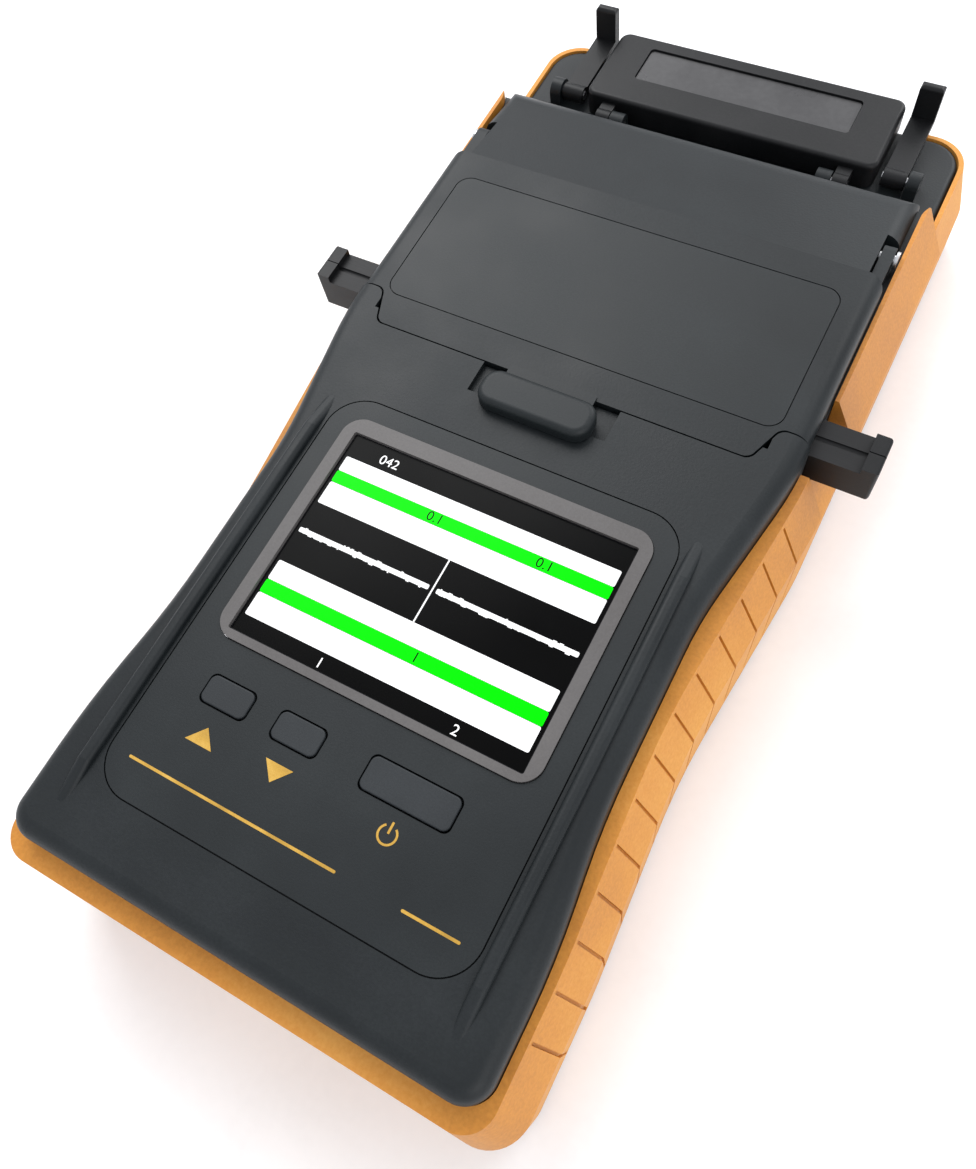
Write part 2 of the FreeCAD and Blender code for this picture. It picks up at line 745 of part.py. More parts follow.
def cover_skin(shrink, bottom, top, edge_round, region):
    """A block of the cover's form: the case's plan behind the seam."""
    return prism(case_face(-shrink), bottom, top, edge_round).common(prism(cover_region(region), 0, FAR))


def make_wind_cover():
    """Shallow lid over the splice bay, open below, with a hinge arm at each side."""
    skin, gap, bottom, top = size("cover_skin"), size("cover_gap"), size("cover_bottom"), size("case_top")
    cover = cover_skin(gap, bottom, top, size("top_edge_round"), gap)
    cover = cover.cut(cover_skin(gap + skin, bottom - 1, top - skin, size("top_edge_round") - 1, gap + skin))
    pivot_y, pivot_z = size("cover_pivot_y"), size("cover_pivot_z")
    behind = box(-FAR, FAR, pivot_y, 2 * FAR, 0, FAR)
    behind = behind.fuse(bar_along_x(size("cover_back_radius"), -FAR, FAR, pivot_y, pivot_z))
    cover = cover.cut(behind)
    slot = size("stage_wide") / 2 + size("stage_gap")
    cover = cover.cut(both_sides(size("seam_half"), FAR, size("fibre_y") - slot, size("fibre_y") + slot,
                                 0, size("guide_cap_top")))
    cover = cover.cut(rounded_box(2 * size("inlay_half"), size("inlay_back") - size("inlay_front"),
                                  size("inlay_corner"), 0, (size("inlay_back") + size("inlay_front")) / 2,
                                  top - size("inlay_thick"), FAR))
    for side in SIDES.values():
        low = min(side * size("arm_inner"), side * (size("arm_inner") + size("arm_thick")))
        high = low + size("arm_thick")
        reach = size("arm_round")
        cover = cover.fuse(box(low, high, size("arm_start"), pivot_y, pivot_z - reach, pivot_z + reach))
        cover = cover.fuse(bar_along_x(reach, low, high, pivot_y, pivot_z))
        cover = cover.fuse(box(low, high, size("arm_start"), size("arm_start") + 4.2,
                               pivot_z, top - skin + 0.1))
        cover = cover.cut(bar_along_x(size("pin_radius") + size("pin_clearance"), low - 1, high + 1,
                                      pivot_y, pivot_z))
    shaped("wind_cover", cover)
    plate("cover_inlay", "2 * inlay_half - 0.5", "inlay_back - inlay_front - 0.5", "inlay_corner - 0.25",
          "inlay_thick", ("0", "(inlay_back + inlay_front) / 2"), "case_top - inlay_thick")


def make_cover_tab():
    """Rounded lifting tab that stands over the front seam, with the neck that joins it to the cover."""
    tab = plate("cover_tab", "tab_wide", "tab_deep", "tab_corner", "tab_thick",
                ("0", "tab_centre"), "tab_bottom")
    neck_front = "seam_front - 3.4"
    sketch = new_sketch(tab, "neck_outline")
    rounded_rectangle(sketch, "tab_wide - 6", "4.0", "0.6", "0", f"{neck_front} + 3 - tab_centre")
    neck = tab.newObject("PartDesign::Pad", "neck_pad")
    neck.Profile = sketch
    neck.Reversed = True
    bind(neck, Length="tab_bottom - case_top")
    round_top(tab, "tab_edge", 1.6)


def make_press_feet():
    """Two small soft feet under the cover that hold the bare fibres in their grooves."""
    feet = [block(f"press_foot_{side}", (f"{start}", "fibre_y - 1.5", "fibre_z + 0.4"),
                  ("2.5", "3", "case_top - cover_skin - fibre_z - 0.4"))
            for side, start in (("left", -5.5), ("right", 3.0))]
    group = doc.addObject("Part::Compound", "press_foot_pair")
    group.Links = feet
    keep("press_feet", group)


def make_cover_pins():
    """Headed pins, fast in the cowl, that the cover's arms turn on."""
    for name, side in SIDES.items():
        shank = rod(f"cover_pin_shank_{name}", "pin_radius", "arm_inner + arm_thick + 0.6 - 47",
                    (f"{side} * 47", "cover_pivot_y", "cover_pivot_z"), (side, 0, 0))
        head = rod(f"cover_pin_head_{name}", "pin_radius + 0.9", "0.7",
                   (f"{side} * (arm_inner + arm_thick + 0.4)", "cover_pivot_y", "cover_pivot_z"),
                   (side, 0, 0))
        keep(f"cover_pin_{name}", joined(f"cover_pin_solid_{name}", [shank, head]))


# ---- splice bay -------------------------------------------------------------------------------------

def make_splice_tray():
    """Shallow metal tray let into the deck, with a slot each side for the fibre stages."""
    outer = block("tray_outer", ("-tray_half", "tray_front", "tray_bottom"),
                  ("2 * tray_half", "tray_back - tray_front", "bay_deck - tray_bottom"))
    inner = block("tray_inner",
                  ("tray_wall - tray_half", "tray_front + tray_wall", "tray_bottom + tray_wall"),
                  ("2 * (tray_half - tray_wall)", "tray_back - tray_front - 2 * tray_wall", "20"))
    slot = block("tray_slot", ("-70", "fibre_y - stage_wide / 2 - stage_gap", "tray_bottom + tray_wall"),
                 ("140", "stage_wide + 2 * stage_gap", "20"))
    keep("splice_tray", cut("tray_cut", outer, [inner, slot]))


def make_groove_block():
    """Ceramic block with the fibre groove along X and a gap across it for the electrodes."""
    base = block("groove_base", ("-block_half", "fibre_y - block_deep / 2", "tray_bottom + tray_wall"),
                 ("2 * block_half", "block_deep", "fibre_z - tray_bottom - tray_wall"))
    gap = block("arc_gap", ("-2.4", "fibre_y - 10", "fibre_z - 4"), ("4.8", "20", "10"))
    groove = rod("block_groove", "0.5", "40", ("-20", "fibre_y", "fibre_z"), (1, 0, 0))
    keep("v_groove_block", cut("groove_block_cut", base, [gap, groove]))


def make_electrodes():
    """Pointed rods along Y, each held in an upright holder with a clamp screw head on top."""
    for name, side in (("front", -1), ("rear", 1)):
        tip_long = 3.0
        start = f"fibre_y + {side} * electrode_gap / 2"
        tip = doc.addObject("Part::Cone", f"electrode_tip_{name}")
        tip.Placement = Placement(Vector(), Rotation(Vector(0, 0, 1), Vector(0, side, 0)))
        bind(tip, Radius1="0.1", Radius2="electrode_radius", Height=tip_long)
        place(tip, "0", start, "fibre_z - 0.3")
        shank = rod(f"electrode_shank_{name}", "electrode_radius", "electrode_reach - 3",
                    ("0", f"{start} + {side} * {tip_long}", "fibre_z - 0.3"), (0, side, 0))
        keep(f"electrode_{name}", joined(f"electrode_solid_{name}", [tip, shank]))
        near = "fibre_y - electrode_reach + 0.6" if side < 0 else "fibre_y + electrode_reach - 3.4"
        post = block(f"holder_post_{name}", ("-4.5", near, "tray_bottom + tray_wall"),
                     ("9", "4", "fibre_z + 2 - tray_bottom - tray_wall"))
        bore = rod(f"holder_bore_{name}", "electrode_radius", "30", ("0", "fibre_y - 15", "fibre_z - 0.3"),
                   (0, 1, 0))
        knob = rod(f"holder_knob_{name}", "1.6", "1.4", ("0", f"{near} + 2", "fibre_z + 1.6"), (0, 0, 1))
        keep(f"electrode_holder_{name}",
             cut(f"holder_cut_{name}", joined(f"holder_{name}", [post, knob]), [bore]))


def make_lens():
    """Microscope objective behind the rear holder, a stepped barrel on the tray's floor."""
    foot = ("0", "fibre_y + 20", "tray_bottom + tray_wall")
    barrel = rod("lens_barrel", "lens_radius", "4.6", foot, (0, 0, 1))
    nose = rod("lens_nose", "lens_radius - 1", "6.4", foot, (0, 0, 1))
    keep("objective_lens", joined("lens_solid", [barrel, nose]))


def make_fibre_stage(name, side):
    """Bar that carries a fibre in from the side, with ears for its clamp, a guide cap, clamp and pin."""
    width, y, low = size("stage_wide") / 2, size("fibre_y"), size("stage_bottom")
    fibre_z, deck_gap = size("fibre_z"), size("cover_gap")
    pin_y, pin_z, ear = size("clamp_pivot_y"), size("clamp_pivot_z"), size("ear_thick")
    inner, outer = size("clamp_inner"), size("clamp_outer")
    bar = box(size("stage_inner"), size("stage_outer"), y - width, y + width, low, fibre_z)
    ears = []
    for near in (inner - ear - size("ear_gap"), outer + size("ear_gap")):
        ears.append(box(near, near + ear, y + width - 1, pin_y + 1.6, low + 1, pin_z))
        ears.append(bar_along_x(1.6, near, near + ear, pin_y, pin_z))
    bar = bar.fuse(ears)
    bar = bar.cut(bar_along_x(0.6, 0, FAR, y, fibre_z))
    bar = bar.cut(bar_along_x(size("clamp_pin_radius"), 0, outer + 6, pin_y, pin_z))
    cap = box(size("stage_outer"), size("guide_cap_outer"), y - width, y + width, low, size("guide_cap_top"))
    cap = cap.makeFillet(0.8, [edge for edge in cap.Edges
                               if edge.BoundBox.XMin > size("guide_cap_outer") - 1e-4])
    notch = Part.Face(Part.makePolygon([
        Vector(0, y, fibre_z - 0.8), Vector(0, y + 2.4, FAR), Vector(0, y - 2.4, FAR),
        Vector(0, y, fibre_z - 0.8)])).extrude(Vector(FAR, 0, 0))
    cap = cap.cut(notch)
    front, thick = size("clamp_front"), size("clamp_thick")
    clamp = box(inner, outer, front, pin_y, fibre_z + deck_gap, fibre_z + deck_gap + thick)
    clamp = clamp.fuse(bar_along_x(size("clamp_round"), inner, outer, pin_y, pin_z))
    clamp = clamp.cut(bar_along_x(size("clamp_pin_radius") + size("pin_clearance"), 0, FAR, pin_y, pin_z))
    pin = bar_along_x(size("clamp_pin_radius"), inner - ear - size("ear_gap"), outer + ear + size("ear_gap"),
                      pin_y, pin_z)
    pieces = {"fibre_stage": bar, "guide_cap": cap, "fibre_clamp": clamp, "clamp_pin": pin}
    for label, shape in pieces.items():
        if side < 0:
            shape = shape.mirror(Vector(), Vector(1, 0, 0))
        shaped(f"{label}_{name}", shape)


# ---- heater -----------------------------------------------------------------------------------------

def make_heater_channel():
    """Metal channel that warms the protection sleeve."""
    outer = block("channel_outer", ("-channel_half", "channel_front", "channel_bottom"),
                  ("2 * channel_half", "channel_back - channel_front", "rear_top - channel_bottom"))
    inner = block("channel_inner",
                  ("channel_wall - channel_half", "channel_front + channel_wall",
                   "channel_bottom + channel_wall"),
                  ("2 * (channel_half - channel_wall)", "channel_back - channel_front - 2 * channel_wall",
                   "20"))
    keep("heater_channel", cut("channel_cut", outer, [inner]))


def make_heater_lid():
    """Thick lid with a recess for the tinted window, hollow below, on two knuckles at its front edge."""
    half, front, back = size("lid_half"), size("lid_front"), size("lid_back")
    low, high = size("lid_bottom"), size("lid_top")
    lid = rounded_box(2 * half, back - front, 3.0, 0, (front + back) / 2, low, high)
    lid = lid.makeFillet(1.2, [edge for edge in lid.Edges if edge.BoundBox.ZMin > high - 1e-4])
    lid = lid.cut(rounded_box(size("window_wide") + 0.4, size("window_deep") + 0.4, 1.2, 0,
                              size("window_centre"), high - size("window_thick") - 0.6, FAR))
    channel = size("channel_half")
    lid = lid.cut(box(-channel, channel, size("channel_front"), size("channel_back"), 0, low + 2.8))
    pivot_y, pivot_z, reach = size("lid_pivot_y"), size("lid_pivot_z"), size("lid_round")
    start = size("lid_ear_inner") + size("lid_ear_thick") + 0.4
    for side in SIDES.values():
        low_x, high_x = sorted((side * start, side * (start + 4)))
        lid = lid.fuse(box(low_x, high_x, pivot_y, front + 3, low + 0.6, low + 5))
        lid = lid.fuse(bar_along_x(reach, low_x, high_x, pivot_y, pivot_z))
        lid = lid.cut(bar_along_x(size("pin_radius") + size("pin_clearance"), low_x - 1, high_x + 1,
                                  pivot_y, pivot_z))
    shaped("heater_lid", lid)
    plate("heater_window", "window_wide", "window_deep", "1", "window_thick",
          ("0", "window_centre"), "lid_top - window_thick - 0.6")
    for name, side in SIDES.items():
        keep(f"lid_pin_{name}", rod(f"lid_pin_rod_{name}", "pin_radius", "lid_ear_thick + 4.4",
                                    (f"{side} * lid_ear_inner", "lid_pivot_y", "lid_pivot_z"), (side, 0, 0)))


def make_heater_arms():
    """Clamp arm on each side of the lid: a flat bar on a pin, ending in an upright finger tab."""
    inner, outer = size("finger_arm_inner"), size("finger_arm_outer")
    pivot_y, pivot_z, reach = size("finger_pivot_y"), size("finger_pivot_z"), size("finger_round")
    back, thick = size("finger_back"), size("finger_thick")
    side_view = Part.makePolygon([Vector(inner, y, z) for y, z in (
        (pivot_y, pivot_z - 1.4), (back, pivot_z - 0.4), (back, size("finger_top")),
        (back - thick, size("finger_top")), (back - thick, pivot_z + 1.9), (pivot_y, pivot_z + 1.4),
        (pivot_y, pivot_z - 1.4))])
    arm = Part.Face(side_view).extrude(Vector(outer - inner, 0, 0))
    arm = arm.fuse(bar_along_x(reach, inner, outer, pivot_y, pivot_z)).removeSplitter()
    arm = arm.makeFillet(1.0, [edge for edge in arm.Edges if edge.BoundBox.ZMin > size("finger_top") - 1e-4])
    arm = arm.cut(bar_along_x(size("pin_radius") + size("pin_clearance"), 0, FAR, pivot_y, pivot_z))
    for name, side in SIDES.items():
        shape = arm if side > 0 else arm.mirror(Vector(), Vector(1, 0, 0))
        shaped(f"heater_arm_{name}", shape)
        keep(f"arm_pin_{name}", rod(f"arm_pin_rod_{name}", "pin_radius",
                                    "finger_arm_outer - finger_arm_inner + 3.8",
                                    (f"{side} * (finger_arm_inner - 0.2)", "finger_pivot_y",
                                     "finger_pivot_z"),
                                    (side, 0, 0)))


# ---- underside, ports and what is inside ---------------------------------------------------------

def make_feet():
    """Four rubber feet on the floor of the case."""
    for name, (x, y) in FEET.items():
        body = doc.addObject("PartDesign::Body", f"foot_body_{name}")
        sketch = new_sketch(body, f"foot_outline_{name}")
        sketch.addGeometry(Part.Circle(Vector(), Vector(0, 0, 1), 5.0))
        sketch.addConstraint(Sketcher.Constraint("Coincident", 0, 3, -1, 1))
        index = sketch.addConstraint(Sketcher.Constraint("Radius", 0, 5.0))
        sketch.setExpression(f"Constraints[{index}]", bound("foot_radius"))
        pad = body.newObject("PartDesign::Pad", f"foot_pad_{name}")
        pad.Profile = sketch
        bind(pad, Length="foot_height")
        place(body, str(x), str(y))
        keep(f"foot_{name}", body)


def make_screws(label, places, bottom):
    """Screws of one kind as one sub-part, heads down."""
    screws = []
    for number, (x, y) in enumerate(places):
        head = rod(f"{label}_head_{number}", "screw_head_radius", "screw_head_thick",
                   (str(x), str(y), f"{bottom} + 0.4"), (0, 0, 1))
        shank = rod(f"{label}_shank_{number}", "screw_shank_radius", "screw_shank_long",
                    (str(x), str(y), f"{bottom} + 0.4"), (0, 0, 1))
        screws.append(joined(f"{label}_{number}", [head, shank]))
    group = doc.addObject("Part::Compound", f"{label}_group")
    group.Links = screws
    keep(label, group)


def make_battery_door():
    """Door in the floor with counterbored holes for its screws."""
    door = block("door_plate", ("-door_half", "door_front", "foot_height + 0.2"),
                 ("2 * door_half", "door_back - door_front", "floor_thick - 0.4"))
    holes = []
    for number, (x, y) in enumerate(DOOR_SCREWS):
        holes.append(rod(f"door_sink_{number}", "screw_head_radius + 0.3", "2",
                         (str(x), str(y), "foot_height"), (0, 0, 1)))
        holes.append(rod(f"door_hole_{number}", "screw_shank_radius + 0.1", "9",
                         (str(x), str(y), "foot_height"), (0, 0, 1)))
    keep("battery_door", cut("door_cut", door, holes))


def make_ports():
    """Panel in the back wall with a round charging socket and a flat data socket behind it."""
    panel = block("port_plate", ("0.2 - port_half", "case_back - wall", "port_bottom + 0.2"),
                  ("2 * port_half - 0.4", "wall", "port_top - port_bottom - 0.4"))
    jack_hole = rod("jack_hole", "jack_radius", "20", ("jack_x", "case_back - 10", "port_z"), (0, 1, 0))
    usb_hole = block("usb_hole", ("usb_x - usb_wide / 2", "case_back - 10", "port_z - usb_high / 2"),
                     ("usb_wide", "20", "usb_high"))
    keep("port_panel", cut("port_cut", panel, [jack_hole, usb_hole]))
    sleeve = rod("jack_sleeve", "jack_radius + 1.4", "11",
                 ("jack_x", "case_back - wall", "port_z"), (0, -1, 0))
    bore = rod("jack_bore", "jack_radius", "9.6", ("jack_x", "case_back - wall", "port_z"), (0, -1, 0))
    keep("charging_socket", cut("jack_cut", sleeve, [bore]))
    can = block("usb_can",
                ("usb_x - usb_wide / 2 - 0.8", "case_back - wall - 14", "port_z - usb_high / 2 - 0.8"),
                ("usb_wide + 1.6", "14", "usb_high + 1.6"))
    mouth = block("usb_mouth", ("usb_x - usb_wide / 2", "case_back - wall - 13", "port_z - usb_high / 2"),
                  ("usb_wide", "13", "usb_high"))
    keep("data_socket", cut("usb_cut", can, [mouth]))


def make_inner_parts():
    """Main board, arc power unit, camera module and battery pack."""
    plate("main_board", "86", "108", "3", "board_thick", ("0", "-62"), "case_split - 4")
    keep("arc_power_unit", block("arc_unit", ("-22", "-50", "case_split - 4 + board_thick"),
                                 ("44", "36", "16")))
    keep("camera_module", block("camera_box", ("-15", "fibre_y - 8", "case_split"), ("30", "36", "9.6")))
    battery = plate("battery_pack", "2 * door_half - 4", "door_back - door_front - 8", "4", "14",
                    ("0", "(door_front + door_back) / 2 + 3"), "foot_height + floor_thick + 4.6")
    round_top(battery, "battery_edge", 1.5)


def build():
    """Make every sub-part."""
    fill_sheet()
    make_bumper()
    make_lower_case()
    make_top_shell()
    make_rear_cowl()
    make_rear_deck()
    make_front_panel()
    make_screen()
    make_keys()
    make_key_switches()
    make_wind_cover()
    make_cover_tab()
    make_press_feet()
    make_cover_pins()
    make_splice_tray()
    make_groove_block()
    make_electrodes()
    make_lens()
    for name, side in SIDES.items():
        make_fibre_stage(name, side)
    make_heater_channel()
    make_heater_lid()
    make_heater_arms()
    make_feet()
    make_screws("case_screws", CASE_SCREWS, "foot_height")
    make_battery_door()
    make_screws("door_screws", DOOR_SCREWS, "foot_height")
    make_ports()
    make_inner_parts()
    doc.recompute()


def check():
    """Stop before writing if any object failed or any sub-part is not a sound solid."""
    for thing in doc.Objects:
        if {"Invalid", "Error"} & set(thing.State):
            raise RuntimeError(f"{thing.Name} failed: {thing.State}")
    for name, thing in nodes.items():
        shape = thing.Shape
        if shape.isNull() or not shape.isValid() or not shape.Solids:
            raise RuntimeError(f"{name} has no sound solid")
        print(name, len(shape.Solids), round(shape.Volume, 1))


def export():
    """Write one STEP file for each sub-part."""
    os.makedirs("parts", exist_ok=True)
    for name, thing in nodes.items():
        thing.Shape.exportStep(f"parts/{name}.step")


build()
check()
export()
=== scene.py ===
import json
import math
import random

import bmesh
import bpy
from mathutils import Matrix, Vector


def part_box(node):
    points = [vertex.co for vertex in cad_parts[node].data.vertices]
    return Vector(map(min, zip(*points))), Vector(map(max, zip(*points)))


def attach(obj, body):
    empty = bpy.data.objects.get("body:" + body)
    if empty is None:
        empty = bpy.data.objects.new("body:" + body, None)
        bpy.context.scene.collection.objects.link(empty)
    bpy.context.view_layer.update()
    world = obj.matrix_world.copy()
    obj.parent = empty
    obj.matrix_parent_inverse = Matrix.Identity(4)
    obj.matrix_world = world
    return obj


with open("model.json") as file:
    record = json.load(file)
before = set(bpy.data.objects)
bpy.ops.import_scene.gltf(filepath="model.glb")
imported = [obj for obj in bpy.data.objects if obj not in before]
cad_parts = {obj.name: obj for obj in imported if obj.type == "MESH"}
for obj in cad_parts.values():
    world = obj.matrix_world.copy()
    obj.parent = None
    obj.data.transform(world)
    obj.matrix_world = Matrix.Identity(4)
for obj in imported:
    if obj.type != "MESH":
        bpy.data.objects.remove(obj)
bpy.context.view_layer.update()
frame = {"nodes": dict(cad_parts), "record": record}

MM = 0.001

# ---- places taken from the frame ----------------------------------------------------------------

PANEL_LOW, PANEL_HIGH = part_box("front_panel")
GLASS_LOW, GLASS_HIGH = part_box("screen_glass")
PANEL_TOP = PANEL_HIGH[2]


# ---- materials -----------------------------------------------------------------------------------

DISPLAY_CELL = 0.44 * MM
DISPLAY_CELL_GAP = 0.03 * MM
RELIEF_COARSE = 0.15
RELIEF_FINE = 0.5
GRAIN_SHARE = 0.35

def node(tree, kind, **settings):
    """Add a shader node and set its plain properties."""
    made = tree.nodes.new(kind)
    for name, value in settings.items():
        setattr(made, name, value)
    return made


def noise(tree, scale, detail=4.0, stretch=(1, 1, 1)):
    """Noise in the object's own metres; stretch squeezes it along an axis."""
    where = node(tree, "ShaderNodeTexCoord")
    mapping = node(tree, "ShaderNodeMapping")
    mapping.inputs["Scale"].default_value = stretch
    texture = node(tree, "ShaderNodeTexNoise")
    texture.inputs["Scale"].default_value = scale
    texture.inputs["Detail"].default_value = detail
    tree.links.new(where.outputs["Object"], mapping.inputs["Vector"])
    tree.links.new(mapping.outputs["Vector"], texture.inputs["Vector"])
    return texture.outputs["Fac"]


def ramp(tree, source, stops):
    """Colour ramp over a factor; stops are (position, colour)."""
    made = node(tree, "ShaderNodeValToRGB")
    band = made.color_ramp
    for index, (position, colour) in enumerate(stops):
        stop = band.elements[index] if index < 2 else band.elements.new(position)
        stop.position = position
        stop.color = (*colour, 1)
    tree.links.new(source, made.inputs["Fac"])
    return made.outputs["Color"]


def spread(tree, source, low, high):
    """Map a factor to a range of plain values."""
    made = node(tree, "ShaderNodeMapRange")
    made.inputs["From Min"].default_value = 0.3
    made.inputs["From Max"].default_value = 0.7
    made.inputs["To Min"].default_value = low
    made.inputs["To Max"].default_value = high
    tree.links.new(source, made.inputs["Value"])
    return made.outputs["Result"]


def bump(tree, layers):
    """Stack bumps: each layer is (height source, distance in metres, strength)."""
    normal = None
    for source, distance, strength in layers:
        made = node(tree, "ShaderNodeBump")
        made.inputs["Distance"].default_value = distance
        made.inputs["Strength"].default_value = strength
        tree.links.new(source, made.inputs["Height"])
        if normal:
            tree.links.new(normal, made.inputs["Normal"])
        normal = made.outputs["Normal"]
    return normal


def surface(name, colours, roughness, grain, depth, metallic=0.0, stretch=(1, 1, 1), patch=35.0, **sockets):
    """A worked surface: patchy colour, uneven roughness and two sizes of relief.

    colours: darkest, usual and worn colour. grain: texture cells per metre. depth: relief in metres.
    """
    material = bpy.data.materials.new(name)
    material.use_nodes = True
    tree = material.node_tree
    shader = tree.nodes["Principled BSDF"]
    patches = noise(tree, patch, 6.0)
    fine = noise(tree, grain, 3.0, stretch)
    blend = node(tree, "ShaderNodeMath", operation="MULTIPLY_ADD")
    blend.inputs[1].default_value = GRAIN_SHARE
    tree.links.new(fine, blend.inputs[0])
    tree.links.new(patches, blend.inputs[2])
    dark, usual, worn = colours
    colour = ramp(tree, blend.outputs["Value"], [(0.45, dark), (0.68, usual), (0.95, worn)])
    tree.links.new(colour, shader.inputs["Base Color"])
    tree.links.new(spread(tree, patches, *roughness), shader.inputs["Roughness"])
    relief = bump(tree, [(patches, depth * 2, RELIEF_COARSE), (fine, depth, RELIEF_FINE)])
    tree.links.new(relief, shader.inputs["Normal"])
    shader.inputs["Metallic"].default_value = metallic
    for socket, value in sockets.items():
        shader.inputs[socket.replace("_", " ")].default_value = value
    return material


def case_plastic():
    """Charcoal moulded plastic with a fine spark-eroded grain."""
    return surface("case_plastic",
                   [(0.0056, 0.0076, 0.0086), (0.0080, 0.0105, 0.0118), (0.0145, 0.0178, 0.0195)],
                   (0.40, 0.56), 1800.0, 0.00007, Specular_IOR_Level=0.28)


def panel_plastic():
    """The same plastic, a touch smoother and lighter."""
    return surface("panel_plastic",
                   [(0.0070, 0.0092, 0.0102), (0.0096, 0.0124, 0.0136), (0.0165, 0.0200, 0.0215)],
                   (0.42, 0.52), 2400.0, 0.00004, Specular_IOR_Level=0.28)


def orange_rubber():
    """Soft orange rubber: dull, with a little light carried below the surface and darker handled patches."""
    return surface("orange_rubber", [(0.42, 0.155, 0.018), (0.57, 0.230, 0.030), (0.68, 0.32, 0.065)],
                   (0.46, 0.62), 1400.0, 0.00004, patch=22.0, Specular_IOR_Level=0.35,
                   Subsurface_Weight=0.06, Subsurface_Scale=0.002, Subsurface_Radius=(1.0, 0.4, 0.12))


def bezel_plastic():
    """Mid-grey satin frame of the screen."""
    return surface("bezel_plastic", [(0.070, 0.064, 0.062), (0.090, 0.084, 0.082), (0.115, 0.108, 0.105)],
                   (0.4, 0.55), 2200.0, 0.00003, Specular_IOR_Level=0.35)


def black_plastic():
    """Near-black satin plastic."""
    return surface("black_plastic",
                   [(0.0035, 0.0037, 0.0042), (0.0055, 0.0058, 0.0064), (0.012, 0.012, 0.013)],
                   (0.36, 0.52), 1800.0, 0.00004, Specular_IOR_Level=0.25)


def key_rubber():
    """Key caps: soft-touch charcoal."""
    return surface("key_rubber",
                   [(0.0095, 0.0120, 0.0140), (0.0130, 0.0160, 0.0185), (0.022, 0.026, 0.029)],
                   (0.46, 0.58), 2600.0, 0.00003, Specular_IOR_Level=0.35)


def foot_rubber():
    """Black rubber feet."""
    return surface("foot_rubber", [(0.008, 0.008, 0.008), (0.016, 0.016, 0.016), (0.035, 0.034, 0.032)],
                   (0.6, 0.8), 1200.0, 0.00008)


def black_metal():
    """Black anodised metal with faint machining marks."""
    return surface("black_metal", [(0.006, 0.006, 0.0065), (0.009, 0.009, 0.0095), (0.02, 0.02, 0.021)],
                   (0.40, 0.55), 900.0, 0.00003, metallic=0.2, stretch=(0.2, 4, 1), Specular_IOR_Level=0.3)


def dark_metal():
    """Grey anodised tray."""
    return surface("dark_metal", [(0.05, 0.052, 0.056), (0.075, 0.078, 0.084), (0.13, 0.13, 0.14)],
                   (0.34, 0.5), 900.0, 0.00003, metallic=0.7, stretch=(0.2, 4, 1))


def steel():
    """Bright steel with fine turning marks."""
    return surface("steel", [(0.42, 0.42, 0.43), (0.58, 0.58, 0.59), (0.72, 0.72, 0.72)],
                   (0.2, 0.36), 2600.0, 0.00002, metallic=1.0)


def aluminium():
    """Brushed aluminium."""
    return surface("aluminium", [(0.55, 0.55, 0.57), (0.68, 0.68, 0.70), (0.80, 0.80, 0.81)],
                   (0.26, 0.42), 1200.0, 0.00002, metallic=1.0, stretch=(0.15, 5, 5))


def ceramic():
    """Matt off-white ceramic."""
    return surface("ceramic", [(0.60, 0.58, 0.53), (0.74, 0.72, 0.67), (0.82, 0.81, 0.77)],
                   (0.45, 0.65), 1600.0, 0.00003)


def circuit_board():
    """Green solder mask."""
    return surface("circuit_board", [(0.01, 0.10, 0.035), (0.015, 0.15, 0.05), (0.04, 0.22, 0.08)],
                   (0.3, 0.45), 700.0, 0.00004)


def battery_wrap():
    """Blue shrink wrap."""
    return surface("battery_wrap", [(0.015, 0.03, 0.10), (0.02, 0.05, 0.16), (0.05, 0.09, 0.22)],
                   (0.3, 0.4), 500.0, 0.00005)


def screen_glass():
    """Black glass edge of the screen."""
    return surface("screen_glass", [(0.004, 0.004, 0.005), (0.008, 0.008, 0.010), (0.014, 0.014, 0.016)],
                   (0.1, 0.2), 300.0, 0.000002, Specular_IOR_Level=0.2)


def tinted_window():
    """Smoked window of the heater."""
    return surface("tinted_window", [(0.040, 0.039, 0.040), (0.052, 0.051, 0.052), (0.070, 0.069, 0.070)],
                   (0.22, 0.36), 600.0, 0.00001, Specular_IOR_Level=0.3, Coat_Weight=0.1)


def gold_print():
    """Orange-gold screen print, slightly raised and worn."""
    return surface("gold_print", [(0.36, 0.20, 0.018), (0.48, 0.27, 0.025), (0.62, 0.38, 0.07)],
                   (0.4, 0.55), 3000.0, 0.00001, patch=180.0)


def lit_layer(name, colour, strength):
    """One colour of the lit display, with the fine grid of its cells."""
    body = [tuple(c * share for c in colour) for share in (0.35, 0.4, 0.45)]
    material = surface(name, body, (0.2, 0.3), 2600.0, 0.000002, Specular_IOR_Level=0.05)
    tree = material.node_tree
    shader = tree.nodes["Principled BSDF"]
    where = node(tree, "ShaderNodeTexCoord")
    cells = node(tree, "ShaderNodeTexBrick", offset=0.0)
    cells.inputs["Color1"].default_value = (*colour, 1)
    cells.inputs["Color2"].default_value = (*[c * 0.97 for c in colour], 1)
    cells.inputs["Mortar"].default_value = (*[c * 0.86 for c in colour], 1)
    cells.inputs["Scale"].default_value = 1.0
    cells.inputs["Brick Width"].default_value = DISPLAY_CELL
    cells.inputs["Row Height"].default_value = DISPLAY_CELL
    cells.inputs["Mortar Size"].default_value = DISPLAY_CELL_GAP
    tree.links.new(where.outputs["Object"], cells.inputs["Vector"])
    tree.links.new(cells.outputs["Color"], shader.inputs["Emission Color"])
    shader.inputs["Emission Strength"].default_value = strength
    return material


